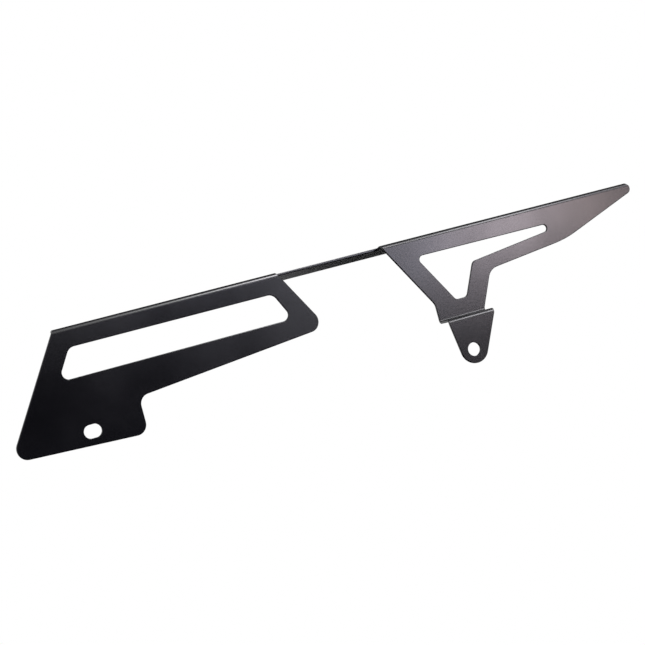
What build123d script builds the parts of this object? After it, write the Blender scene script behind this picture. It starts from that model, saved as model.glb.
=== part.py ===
from build123d import *

import math
import os

# Motorcycle chain guard: one laser-cut sheet of steel with three folds.
# A top flange runs the whole length over the chain. A front panel and a rear
# panel hang from it with a gap between them, where only a narrow strip of the
# flange is left. The rear panel ends in a stepped tab with the rear bolt hole.
#
# Frame, in millimetres: the origin is the centre of the rear bolt hole, on the
# face of the tab that seats on the bike. +X runs along the top fold towards
# the tail, +Y runs inboard, towards the wheel, and +Z is up.

# Sheet
thickness = 1.6
bend_inner_radius = 1.0
edge_round = 0.45
rim_round = 0.3

# Top fold and flange
top_height = 81.8
flange_width = 24.5
flange_dip = 10.0
flange_corner_radius = 1.0
gap_setback = 6.5

# Ends and gap along the fold
front_end_x = -270.2
gap_front_x = -117.0
gap_rear_x = -41.0
tail_end_x = 156.0

# Front panel
front_edge_angle = 57.3
front_foot_angle = -3.0
ear_edge_x = -227.4
ear_foot_z = 4.6
ear_top_z = 28.0
front_lower_angle = 5.0
gap_front_angle = 120.6
front_corner_radius = 7.0
ear_inner_radius = 6.5

# Long slot of the front panel
rail_depth = 13.0
slot_height = 19.0
slot_lower_angle = 0.2
slot_front_x = -262.8
slot_front_angle = 57.6
slot_tail_x = -122.9
slot_tail_angle = 116.8
slot_obtuse_radius = 6.0
slot_acute_radius = 4.2

# Front bolt slot
bolt_slot_x = -261.85
bolt_slot_z = 15.2
bolt_slot_length = 11.7
bolt_slot_width = 8.5

# Rear panel
gap_rear_angle = 121.1
leg_front_x = -12.8
leg_front_radius = 8.0
leg_tail_x = 22.4
shelf_corner_radius = 2.0
leg_tail_angle = 63.6
strut_angle = 6.0
strut_inner_radius = 9.4
tail_start_x = 96.4
tail_angle = 19.0
tail_blend_radius = 80.0

# Nose at the tail: its low corner is measured down from the top, its high
# corner down from the underside of the flange
nose_low_depth = 6.4
nose_low_radius = 3.5
nose_high_drop = 1.0
nose_high_radius = 2.0
nose_top_angle = 130.0

# Window of the rear panel
window_front_x = -17.6
window_front_angle = 121.4
window_front_radius = 2.9
window_top_angle = -0.35
window_tail_radius = 2.48
window_strut_angle = 6.5
window_knee_x = 22.5
window_knee_depth = 25.3
window_knee_radius = 4.4
window_leg_angle = 63.4
window_foot_x = 3.2
window_foot_front_radius = 2.8
window_foot_tail_radius = 3.5

# Shelf, tab and rear bolt hole
shelf_height = 23.1
tab_step = 13.0
tab_tail_x = 21.6
rear_hole_diameter = 9.0
tab_end_radius = 10.2
tab_end_x = 0.4
tab_end_z = 0.8

# Straight stretch of a cut edge past a fold, before it turns
fold_relief = 0.6

# Spare length of the cutting shapes past the sheet
cut_margin = 2.0


# Places that follow from the sizes above
bend_outer_radius = bend_inner_radius + thickness
panel_y = tab_step - thickness
tab_y = -thickness
setback_y = panel_y + gap_setback
flange_end_y = panel_y + flange_width
fold_turn = math.radians(90 + flange_dip)
fold_corner_z = top_height + bend_outer_radius * (math.tan(fold_turn / 2) - 1)
flange_end_z = fold_corner_z - flange_width * math.tan(math.radians(flange_dip))
over_shelf_z = shelf_height + bend_inner_radius + fold_relief
under_shelf_z = shelf_height - bend_outer_radius - fold_relief
over_fold_z = top_height + cut_margin
rail_z = top_height - rail_depth
front_lean = math.tan(math.radians(90 - front_edge_angle))
nose_lean = math.tan(math.radians(90 - nose_top_angle))
nose_high_z = top_height - thickness - nose_high_drop
nose_top_x = tail_end_x + (top_height - nose_high_z) * nose_lean
flange_ends = [(front_end_x, front_lean), (nose_top_x, nose_lean)]


def meet(point_a, angle_a, point_b, angle_b):
    """Where two lines cross, each given by a point and an angle in degrees."""
    ax, az = point_a
    bx, bz = point_b
    ua, va = math.cos(math.radians(angle_a)), math.sin(math.radians(angle_a))
    ub, vb = math.cos(math.radians(angle_b)), math.sin(math.radians(angle_b))
    along = ((bx - ax) * vb - (bz - az) * ub) / (ua * vb - va * ub)
    return (ax + along * ua, az + along * va)


def tangent_from(point, centre, radius, side):
    """Where the line from a point touches a circle. side is 1 or -1."""
    dx, dz = point[0] - centre[0], point[1] - centre[1]
    turn = math.acos(radius / math.hypot(dx, dz))
    heading = math.atan2(dz, dx) + side * turn
    return (
        centre[0] + radius * math.cos(heading),
        centre[1] + radius * math.sin(heading),
    )


def rounded_face(corners):
    """A face in the front view from corners of (x, z) and a radius each."""
    points = [point for point, _ in corners]
    radii = [radius for _, radius in corners]
    return make_face(FilletPolyline(*points, radius=radii, close=True))


def prism(face, y_from, y_to):
    """A front-view face drawn out along Y between two places."""
    placed = Plane(origin=(0, y_from, 0), x_dir=(1, 0, 0), z_dir=(0, -1, 0)) * face
    return extrude(placed, y_to - y_from, dir=(0, 1, 0))


def folded_strip(line_points, radii, x_from, x_to):
    """A strip of sheet folded along the given outer line in the side view."""
    outer = FilletPolyline(*line_points, radius=radii)
    profile = make_face(offset(outer, thickness, side=Side.LEFT, closed=True))
    placed = Plane(origin=(x_from, 0, 0), x_dir=(0, 1, 0), z_dir=(1, 0, 0)) * profile
    return extrude(placed, x_to - x_from, dir=(1, 0, 0))


def front_outline():
    """The front panel as seen from the side of the bike, cut past the top."""
    fold_front = (front_end_x, top_height)
    fold_tail = (gap_front_x, top_height)
    ear_foot = (ear_edge_x, ear_foot_z)
    ear_top = (ear_edge_x, ear_top_z)
    toe = meet(fold_front, front_edge_angle, ear_foot, front_foot_angle)
    heel = meet(ear_top, front_lower_angle, fold_tail, gap_front_angle)
    top_front = meet(toe, front_edge_angle, (0, over_fold_z), 0)
    top_tail = meet(heel, gap_front_angle, (0, over_fold_z), 0)
    return rounded_face(
        [
            (top_front, 0),
            (toe, front_corner_radius),
            (ear_foot, front_corner_radius),
            (ear_top, ear_inner_radius),
            (heel, front_corner_radius),
            (top_tail, 0),
        ]
    )


def rear_outline():
    """The rear panel with its tab, as seen from the side of the bike."""
    fold_front = (gap_rear_x, top_height)
    knee = meet(fold_front, gap_rear_angle, (leg_front_x, 0), 90)
    tab_front = (leg_front_x, under_shelf_z)
    tab_tail = (tab_tail_x, under_shelf_z)
    leg_tail = (leg_tail_x, over_shelf_z)
    nose_low = (tail_end_x, top_height - nose_low_depth)
    nose_high = (tail_end_x, nose_high_z)
    tail_start = meet(nose_low, tail_angle, (tail_start_x, 0), 90)
    strut_start = meet(leg_tail, leg_tail_angle, tail_start, strut_angle)
    top_tail = meet(nose_high, nose_top_angle, (0, over_fold_z), 0)
    top_front = meet(knee, gap_rear_angle, (0, over_fold_z), 0)
    centre = (tab_end_x, tab_end_z)
    front_touch = tangent_from(tab_front, centre, tab_end_radius, 1)
    tail_touch = tangent_from(tab_tail, centre, tab_end_radius, -1)
    side = FilletPolyline(
        tail_touch,
        tab_tail,
        leg_tail,
        strut_start,
        tail_start,
        nose_low,
        nose_high,
        top_tail,
        top_front,
        knee,
        tab_front,
        front_touch,
        radius=[
            shelf_corner_radius,
            shelf_corner_radius,
            strut_inner_radius,
            tail_blend_radius,
            nose_low_radius,
            nose_high_radius,
            0,
            0,
            leg_front_radius,
            shelf_corner_radius,
        ],
    )
    lowest = (tab_end_x, tab_end_z - tab_end_radius)
    end = ThreePointArc(front_touch, lowest, tail_touch)
    return make_face([*side.edges(), end])


def front_slot():
    """The long slot that lightens the front panel."""
    top_front = (slot_front_x, rail_z)
    top_tail = (slot_tail_x, rail_z)
    low = (slot_front_x, rail_z - slot_height)
    low_front = meet(top_front, slot_front_angle, low, slot_lower_angle)
    low_tail = meet(top_tail, slot_tail_angle, low, slot_lower_angle)
    return rounded_face(
        [
            (top_front, slot_obtuse_radius),
            (low_front, slot_acute_radius),
            (low_tail, slot_acute_radius),
            (top_tail, slot_obtuse_radius),
        ]
    )


def rear_window():
    """The boomerang window between the rear panel's rail, leg and strut."""
    top_front = (window_front_x, rail_z)
    knee = (window_knee_x, top_height - window_knee_depth)
    tail = meet(knee, window_strut_angle, top_front, window_top_angle)
    foot_front = meet(top_front, window_front_angle, (window_foot_x, 0), 90)
    foot_tail = meet(knee, window_leg_angle, foot_front, 0)
    return rounded_face(
        [
            (top_front, window_front_radius),
            (foot_front, window_foot_front_radius),
            (foot_tail, window_foot_tail_radius),
            (knee, window_knee_radius),
            (tail, window_tail_radius),
        ]
    )


def flange_corner(top_x, lean):
    """Where an end of the flange turns inboard, as (x, y) seen from above.

    top_x is where the end crosses the fold and lean is its run along X for
    each millimetre inboard.
    """
    return (top_x - thickness * lean, panel_y + bend_outer_radius + fold_relief)


def flange_end_cut(top_x, lean):
    """What is cut off one end of the flange, at the panel's end angle mirrored."""
    corner_x, corner_y = flange_corner(top_x, lean)
    near_y = panel_y + thickness
    far_y = flange_end_y + cut_margin
    beyond_x = corner_x - math.copysign(top_height, lean)
    corners = [
        (corner_x + (near_y - corner_y) * lean, near_y),
        (corner_x + (far_y - corner_y) * lean, far_y),
        (beyond_x, far_y),
        (beyond_x, near_y),
    ]
    face = Plane.XY.offset(rail_z) * make_face(Polyline(*corners, close=True))
    return extrude(face, rail_depth + cut_margin, dir=(0, 0, 1))


def folded_sheet():
    """The sheet cut and folded, before its windows and holes."""
    flange_end = (flange_end_y, flange_end_z)
    fold = (panel_y, fold_corner_z)
    front_foot = (panel_y, ear_foot_z - front_corner_radius)
    shelf_back = (panel_y, shelf_height)
    shelf_front = (tab_y, shelf_height)
    tab_foot = (tab_y, -tab_end_radius - cut_margin)
    plain = folded_strip(
        [flange_end, fold, front_foot],
        [bend_outer_radius],
        front_end_x - top_height,
        tail_end_x,
    )
    stepped = folded_strip(
        [flange_end, fold, shelf_back, shelf_front, tab_foot],
        [bend_outer_radius, bend_inner_radius, bend_outer_radius],
        gap_rear_x,
        tail_end_x,
    )
    near_y = tab_y - cut_margin
    front = plain & prism(front_outline(), near_y, setback_y)
    rear = stepped & prism(rear_outline(), near_y, setback_y)
    beyond = Box(
        tail_end_x - front_end_x + top_height,
        flange_width,
        top_height,
        align=(Align.MAX, Align.MIN, Align.MIN),
    )
    flange = plain & Pos(tail_end_x, setback_y, rail_z) * beyond
    sheet = front + rear + flange
    for top_x, lean in flange_ends:
        sheet -= flange_end_cut(top_x, lean)
    return sheet


def is_sheet_side(face):
    """True for a face of the sheet itself: a fold, or a flat beside the folds."""
    if face.geom_type == GeomType.CYLINDER:
        return abs(face.axis_of_rotation.direction.X) > 0.5
    dip = math.radians(flange_dip)
    over = Vector(0, math.sin(dip), math.cos(dip))
    out = Vector(0, 1, 0)
    up = Vector(0, 0, 1)
    fold = Vector(0, panel_y, fold_corner_z)
    shelf = Vector(0, 0, shelf_height)
    sides = [
        (Vector(0, panel_y, 0), out),
        (Vector(0, panel_y + thickness, 0), out),
        (Vector(0, tab_y, 0), out),
        (Vector(0, 0, 0), out),
        (fold, over),
        (fold - over * thickness, over),
        (shelf, up),
        (shelf - up * thickness, up),
    ]
    normal = face.normal_at()
    centre = face.center()
    for point, direction in sides:
        level = abs((centre - point).dot(direction)) < edge_round / 10
        if level and abs(normal.dot(direction)) > 0.999:
            return True
    return False


def cut_edges(solid):
    """The edges where the sheet's two sides meet its cut faces."""
    sides = set()
    cuts = set()
    for face in solid.faces():
        (sides if is_sheet_side(face) else cuts).update(face.edges())
    return [edge for edge in solid.edges() if edge in sides and edge in cuts]


def bolt_hole(solid, face):
    """The solid with one bolt hole through it, its rims lightly rounded."""
    drilled = solid - prism(face, tab_y - cut_margin, setback_y)
    rims = new_edges(solid, combined=drilled).filter_by(Plane.XZ)
    return drilled.solid().fillet(rim_round, rims)


def main():
    guard = folded_sheet()
    for opening in (front_slot(), rear_window()):
        guard -= prism(opening, tab_y - cut_margin, setback_y)
    for top_x, lean in flange_ends:
        corner = (*flange_corner(top_x, lean), top_height - thickness / 2)
        corner_edge = guard.edges().sort_by_distance(corner)[0]
        guard = guard.solid().fillet(flange_corner_radius, [corner_edge])
    guard = guard.fillet(edge_round, cut_edges(guard))
    slot = SlotOverall(bolt_slot_length, bolt_slot_width)
    guard = bolt_hole(guard, Pos(bolt_slot_x, bolt_slot_z) * slot)
    guard = bolt_hole(guard, Circle(rear_hole_diameter / 2))
    print("volume mm3", round(guard.volume, 1), "solids", len(guard.solids()))
    os.makedirs("parts", exist_ok=True)
    export_step(guard, "parts/chain_guard.step")


main()
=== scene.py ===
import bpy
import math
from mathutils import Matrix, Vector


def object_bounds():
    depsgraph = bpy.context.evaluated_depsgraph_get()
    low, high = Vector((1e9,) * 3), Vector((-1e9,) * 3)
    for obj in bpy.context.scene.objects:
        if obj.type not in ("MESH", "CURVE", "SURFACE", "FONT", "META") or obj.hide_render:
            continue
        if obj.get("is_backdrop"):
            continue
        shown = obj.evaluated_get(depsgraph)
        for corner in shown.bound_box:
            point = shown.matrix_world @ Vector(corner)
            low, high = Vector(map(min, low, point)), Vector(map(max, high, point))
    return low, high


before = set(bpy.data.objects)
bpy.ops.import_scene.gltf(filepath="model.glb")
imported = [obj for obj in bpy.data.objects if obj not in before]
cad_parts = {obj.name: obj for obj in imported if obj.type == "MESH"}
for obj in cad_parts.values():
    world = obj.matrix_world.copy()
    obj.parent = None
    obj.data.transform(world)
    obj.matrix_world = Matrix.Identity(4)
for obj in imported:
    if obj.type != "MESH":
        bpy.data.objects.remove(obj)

# %% [markdown]
# # A motorcycle chain guard in a small photo studio
# The guard is one sheet of steel. A laser cuts its outline, its long slot and its
# window, a press folds it, and a powder coat makes it black. Its shape is all in
# the CAD model, which the lines above have loaded. What is left for Blender is what
# the eye needs: a camera, a finish that looks like real powder coat, and light that
# shows the folds. So this lesson has no modelling in it. A second sheet drawn over
# the first would only hide good geometry.

MM = 0.001

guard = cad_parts["chain_guard"]
cad_low, cad_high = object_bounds()
guard_centre = (cad_low + cad_high) / 2
print("guard, mm:", [round(side / MM, 1) for side in cad_high - cad_low])

# %% [markdown]
# ## The camera
# The picture was taken from low down and well to the left of the part, with a long
# lens, and the camera was rolled, so the guard climbs to the right. A long lens
# keeps the two ends nearly the same size. The camera could be aimed with a
# constraint, but a constraint knows nothing of roll. So the camera is first turned
# like a head, flat and level, and then rolled round its own line of sight.

# %% Camera
CAMERA_PLACE = (-615.4 * MM, -1215.3 * MM, 43.0 * MM)
CAMERA_TURN = math.radians(23.0)
CAMERA_ROLL = math.radians(15.1)
LENS_MM = 114.8

bpy.ops.object.camera_add(
    location=CAMERA_PLACE, rotation=(math.radians(90), 0, -CAMERA_TURN)
)
camera = bpy.context.object
camera.name = "studio_camera"
camera.rotation_euler.rotate_axis("Z", -CAMERA_ROLL)
camera.data.lens = LENS_MM
camera.data.clip_start = 0.05
bpy.context.scene.camera = camera
bpy.context.scene.view_settings.view_transform = "Standard"
print("camera to guard, mm:", round((camera.location - guard_centre).length / MM))

# %% [markdown]
# ## Two helpers for materials
# Colours are easiest to write as the hex values that a paint program shows. The
# shaders count light instead, so one function turns hex into linear values. The
# other adds a node, with its settings and the links into it, in one call.


# %% Colour and node helpers
def paint(hex_colour):
    """Linear red, green, blue and alpha for an sRGB hex colour."""
    values = [int(hex_colour[i : i + 2], 16) / 255 for i in (1, 3, 5)]
    linear = [
        value / 12.92 if value < 0.04045 else ((value + 0.055) / 1.055) ** 2.4
        for value in values
    ]
    return (*linear, 1.0)


def add_node(tree, kind, settings=None, links=None):
    """A new node with its properties and sockets set and its inputs linked."""
    made = tree.nodes.new(kind)
    for name, value in (settings or {}).items():
        if isinstance(name, int) or name in made.inputs:
            made.inputs[name].default_value = value
        else:
            setattr(made, name, value)
    for name, source in (links or {}).items():
        tree.links.new(source, made.inputs[name])
    return made


print("white card as linear light:", [round(v, 3) for v in paint("#F2F1EF")])

# %% [markdown]
# ## The finish: satin black powder coat on cut steel
# Dry polyester powder is sprayed on the folded sheet and melts into one skin in an
# oven. The melt pulls itself nearly flat, but not quite. It keeps slow waves a few
# millimetres long, called orange peel, and a very fine grain from the powder. Both
# are shallow. They hardly show on a plain view, but they break up the edge of a
# reflection, and that tells the eye that this is paint and not plastic. The waves
# could be modelled, but they are a few thousandths of a millimetre high. Noise in a
# bump node does the same for nothing. The colour drifts a little where the coat is
# thicker, and so does the gloss.

# %% Powder coat
COAT_BLACK = "#08080C"
COAT_THIN = "#0D0D13"
COAT_ROUGHNESS = 0.16
COAT_ROUGHNESS_DRIFT = 0.05
COAT_IOR = 1.52
# Below the first value of the cloud noise the coat is at its glossiest, and over
# the second at its dullest
CLOUD_RANGE = (0.3, 0.7)
CLOUD_SIZE = 45 * MM
CLOUD_DETAIL = 3.0
PEEL_WAVE = 2.4 * MM
PEEL_DETAIL = 1.0
PEEL_HEIGHT = 0.004 * MM
POWDER_GRAIN = 0.35 * MM
GRAIN_DETAIL = 0.0
GRAIN_HEIGHT = 0.0008 * MM


def noise(tree, place, size, detail):
    """Noise whose blobs are about the given size across, in metres."""
    return add_node(
        tree,
        "ShaderNodeTexNoise",
        {"Scale": 1 / size, "Detail": detail},
        {"Vector": place},
    ).outputs["Fac"]


def powder_coat():
    """Satin black polyester powder coat, baked on laser-cut steel."""
    # Baked polyester skin: dark, even and satin, with soft waves in its reflections
    material = bpy.data.materials.new("satin_black_powder_coat")
    material.use_nodes = True
    tree = material.node_tree
    tree.nodes.clear()
    place = add_node(tree, "ShaderNodeTexCoord").outputs["Object"]
    clouds = noise(tree, place, CLOUD_SIZE, CLOUD_DETAIL)
    colour = add_node(
        tree,
        "ShaderNodeMix",
        {"data_type": "RGBA", 6: paint(COAT_BLACK), 7: paint(COAT_THIN)},
        {0: clouds},
    ).outputs[2]
    gloss = add_node(
        tree,
        "ShaderNodeMapRange",
        {
            "From Min": CLOUD_RANGE[0],
            "From Max": CLOUD_RANGE[1],
            "To Min": COAT_ROUGHNESS - COAT_ROUGHNESS_DRIFT / 2,
            "To Max": COAT_ROUGHNESS + COAT_ROUGHNESS_DRIFT / 2,
        },
        {"Value": clouds},
    ).outputs["Result"]
    peel = add_node(
        tree,
        "ShaderNodeBump",
        {"Distance": PEEL_HEIGHT, "Strength": 1.0},
        {"Height": noise(tree, place, PEEL_WAVE, PEEL_DETAIL)},
    )
    grain = add_node(
        tree,
        "ShaderNodeBump",
        {"Distance": GRAIN_HEIGHT, "Strength": 1.0},
        {
            "Height": noise(tree, place, POWDER_GRAIN, GRAIN_DETAIL),
            "Normal": peel.outputs["Normal"],
        },
    )
    surface = add_node(
        tree,
        "ShaderNodeBsdfPrincipled",
        {"IOR": COAT_IOR, "Metallic": 0.0},
        {"Base Color": colour, "Roughness": gloss, "Normal": grain.outputs["Normal"]},
    )
    add_node(
        tree,
        "ShaderNodeOutputMaterial",
        None,
        {"Surface": surface.outputs["BSDF"]},
    )
    return material


coat = powder_coat()
for material_slot in guard.material_slots:
    material_slot.material = coat
print("finish:", coat.name, "on", guard.name, "in", len(guard.material_slots), "slot")

# %% [markdown]
# ## Floor and background
# The part hangs in the air, as it would on its two bolts, over a pale floor that
# takes its soft shadow. The background is pure white. A huge white wall would do,
# but it would stand in the way of a camera behind the part. So the world is white
# where it is looked at or mirrored, and dimmer where it lights the part. The floor
# fades into that white at its rim, so that no horizon cuts the picture.

# %% Floor
FLOOR_DROP = 420 * MM
FLOOR_RADIUS = 880 * MM
FLOOR_SIDES = 96
# The fade starts and ends at these shares of the radius
FLOOR_FADE = (0.55, 0.97)
FLOOR_WHITE = "#F2F1EF"


def floor_paint():
    """Matt white studio paint that fades into the background at the rim."""
    # Matt emulsion: no gloss at all, so that only the shadow shows on it
    material = bpy.data.materials.new("matt_white_studio_paint")
    material.use_nodes = True
    tree = material.node_tree
    tree.nodes.clear()
    place = add_node(tree, "ShaderNodeTexCoord").outputs["Object"]
    reach = add_node(
        tree, "ShaderNodeVectorMath", {"operation": "LENGTH"}, {0: place}
    ).outputs["Value"]
    fade = add_node(
        tree,
        "ShaderNodeMapRange",
        {
            "interpolation_type": "SMOOTHSTEP",
            "From Min": FLOOR_RADIUS * FLOOR_FADE[0],
            "From Max": FLOOR_RADIUS * FLOOR_FADE[1],
        },
        {"Value": reach},
    ).outputs["Result"]
    matt = add_node(tree, "ShaderNodeBsdfDiffuse", {"Color": paint(FLOOR_WHITE)})
    white = add_node(
        tree, "ShaderNodeEmission", {"Color": (1, 1, 1, 1), "Strength": 1.0}
    )
    both = add_node(
        tree,
        "ShaderNodeMixShader",
        None,
        {0: fade, 1: matt.outputs["BSDF"], 2: white.outputs["Emission"]},
    )
    add_node(
        tree, "ShaderNodeOutputMaterial", None, {"Surface": both.outputs["Shader"]}
    )
    return material


bpy.ops.object.select_all(action="DESELECT")
bpy.ops.mesh.primitive_circle_add(
    vertices=FLOOR_SIDES,
    radius=FLOOR_RADIUS,
    fill_type="NGON",
    location=(guard_centre.x, guard_centre.y, -FLOOR_DROP),
)
floor = bpy.context.object
floor.name = "studio_floor"
floor.data.materials.append(floor_paint())
floor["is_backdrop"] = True
print("floor below the guard, mm:", round((cad_low.z + FLOOR_DROP) / MM))

# %% World: white to look at, plain soft light on the part
WORLD_FILL = 0.5

world = bpy.data.worlds.new("white_studio")
bpy.context.scene.world = world
world.use_nodes = True
sky = world.node_tree
sky.nodes.clear()
ray = add_node(sky, "ShaderNodeLightPath").outputs
seen = add_node(
    sky,
    "ShaderNodeMath",
    {"operation": "MAXIMUM"},
    {0: ray["Is Camera Ray"], 1: ray["Is Glossy Ray"]},
).outputs["Value"]
seen = add_node(
    sky,
    "ShaderNodeMath",
    {"operation": "MAXIMUM"},
    {0: seen, 1: ray["Is Transmission Ray"]},
).outputs["Value"]
strength = add_node(
    sky,
    "ShaderNodeMapRange",
    {"To Min": WORLD_FILL, "To Max": 1.0},
    {"Value": seen},
).outputs["Result"]
backdrop = add_node(
    sky, "ShaderNodeBackground", {"Color": (1, 1, 1, 1)}, {"Strength": strength}
)
add_node(
    sky, "ShaderNodeOutputWorld", None, {"Surface": backdrop.outputs["Background"]}
)
print("world fill:", WORLD_FILL)

# %% [markdown]
# ## Light
# A flat black sheet shows almost nothing of its own colour. What the eye reads is
# what the sheet mirrors. From this camera the front panel mirrors the studio
# straight behind the camera, and the rear panel mirrors what stands further right.
# So a black card hangs low behind the camera and keeps the front panel dark, and
# small soft boxes beside its edge wash the rear panel with grey. They stand just
# over the level of the guard, so each panel grows darker towards its foot. Tall
# boxes above them draw the bright line along the top fold. Black cards low in front
# and on the floor darken the rims under each cut edge, and a grey card on the floor
# behind gives the bar in the gap a dull sheen. A charcoal card over and behind the
# part draws the thin dark line above it, which parts the black sheet from the white
# background. The cards are hidden from the camera, so no view has a dark wall in it.

# %% Dark cards
# Both edges of a card are given as (distance to the front, height), in metres.
# The two floor cards lie just over the floor, the grey one on top.
FRONT_CARD = ((3.3, -4.0), (3.3, 0.31))
FRONT_CARD_WIDTH = (-6.0, 1.25)
LOW_CARD = ((3.3, -4.0), (3.3, -0.05))
LOW_CARD_WIDTH = (1.25, 6.0)
REAR_CARD = ((-1.59, 0.34), (-0.25, 2.5))
REAR_CARD_WIDTH = (-0.3, 3.0)
FLOOR_CARD = ((1.0, -0.415), (-1.7, -0.415))
FLOOR_CARD_WIDTH = (-1.1, 1.0)
GREY_FLOOR_CARD = ((-0.95, -0.41), (-1.6, -0.41))
GREY_FLOOR_CARD_WIDTH = (0.05, 0.44)
VELVET_BLACK = "#0A0A0A"
FELT_CHARCOAL = "#3C3C3E"
FELT_GREY = "#B4B4B6"


def cloth(name, hex_colour):
    """Velvet or felt glued to a board."""
    # A deep pile without gloss: black velvet swallows light, felt keeps its grey
    material = bpy.data.materials.new(name)
    material.use_nodes = True
    tree = material.node_tree
    tree.nodes.clear()
    matt = add_node(tree, "ShaderNodeBsdfDiffuse", {"Color": paint(hex_colour)})
    add_node(
        tree, "ShaderNodeOutputMaterial", None, {"Surface": matt.outputs["BSDF"]}
    )
    return material


def dark_card(name, edges, width, material):
    """A flat card between two level edges that run along X."""
    (near, low), (far, high) = edges
    lean = math.atan2(high - low, near - far)
    bpy.ops.object.select_all(action="DESELECT")
    bpy.ops.mesh.primitive_plane_add(
        size=1.0,
        location=(sum(width) / 2, -(near + far) / 2, (low + high) / 2),
        rotation=(lean, 0, 0),
    )
    made = bpy.context.object
    made.name = name
    made.scale = (width[1] - width[0], math.hypot(near - far, high - low), 1)
    made.data.materials.append(material)
    made.visible_camera = False
    made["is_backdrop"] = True
    print(name, "is", round(made.scale.x, 1), "by", round(made.scale.y, 1), "m")
    return made


velvet = cloth("black_velvet_card", VELVET_BLACK)
felt = cloth("charcoal_felt_card", FELT_CHARCOAL)
grey_felt = cloth("grey_felt_card", FELT_GREY)
dark_card("front_card", FRONT_CARD, FRONT_CARD_WIDTH, velvet)
dark_card("low_card", LOW_CARD, LOW_CARD_WIDTH, velvet)
dark_card("rear_card", REAR_CARD, REAR_CARD_WIDTH, felt)
# Only the guard mirrors these cards: the floor keeps its light and its shadow
for near_card in (
    dark_card("floor_card", FLOOR_CARD, FLOOR_CARD_WIDTH, velvet),
    dark_card("grey_floor_card", GREY_FLOOR_CARD, GREY_FLOOR_CARD_WIDTH, grey_felt),
):
    near_card.visible_diffuse = False
    near_card.visible_shadow = False

# %% Soft boxes
# The turn is how far a box stands to the right, seen from the guard, and the
# climb is how far it is lifted round the line of the top fold, both in degrees.
# Width and height are in metres. The colours are those of bluish daylight and,
# further right, of a warmer lamp.
SOFT_BOX_DISTANCE = 3.6
SOFT_BOXES = (
    # name, turn, climb, width, height, watts, colour
    ("low_box_front", 20.0, 6.8, 0.50, 0.28, 2.6, "#EBE9FF"),
    ("low_box_left", 26.0, 2.8, 0.25, 0.22, 0.8, "#DDE2FF"),
    ("low_box_middle", 30.0, 2.8, 0.25, 0.22, 2.2, "#FFF1FC"),
    ("low_box_right", 34.0, 5.0, 0.25, 0.50, 2.2, "#FFE4E3"),
    ("high_box_left", 18.0, 43.0, 0.25, 1.93, 8.5, "#F7FDFD"),
    ("high_box_middle", 22.0, 43.0, 0.25, 1.93, 30.1, "#FCF9FF"),
    ("high_box_right", 30.0, 43.0, 0.25, 1.93, 19.1, "#FBF9FF"),
    ("high_box_tail", 34.0, 43.0, 0.25, 1.93, 3.5, "#F8EEFF"),
)


def soft_box(name, turn, climb, width, height, watts, colour):
    """A soft light that faces the guard, its upright side square to the fold."""
    turn, climb = math.radians(turn), math.radians(climb)
    outward = Vector((
        math.sin(turn),
        -math.cos(turn) * math.cos(climb),
        math.cos(turn) * math.sin(climb),
    ))
    along_fold = Vector((1, 0, 0))
    across = (along_fold - along_fold.dot(outward) * outward).normalized()
    up = outward.cross(across)
    place = guard_centre + SOFT_BOX_DISTANCE * outward
    bpy.ops.object.light_add(type="AREA", location=place)
    lamp = bpy.context.object
    lamp.name = name
    lamp.rotation_euler = Matrix((across, up, outward)).transposed().to_euler()
    lamp.data.shape = "RECTANGLE"
    lamp.data.size, lamp.data.size_y = width, height
    lamp.data.energy = watts
    lamp.data.color = paint(colour)[:3]
    print(name, "at", [round(v, 2) for v in place], "with", watts, "W")


for box in SOFT_BOXES:
    soft_box(*box)

# %% [markdown]
# ## Last step: the size is measured again
# The finish and the studio may not change how large the part is. The box from
# before and the box from after are compared, and the largest change of a side is printed.

# %% Size before and after
shown_low, shown_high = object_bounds()
cad_sides, shown_sides = cad_high - cad_low, shown_high - shown_low
change = max(abs(shown - cad) for shown, cad in zip(shown_sides, cad_sides))
print("largest change of a side, mm:", round(change / MM, 4))
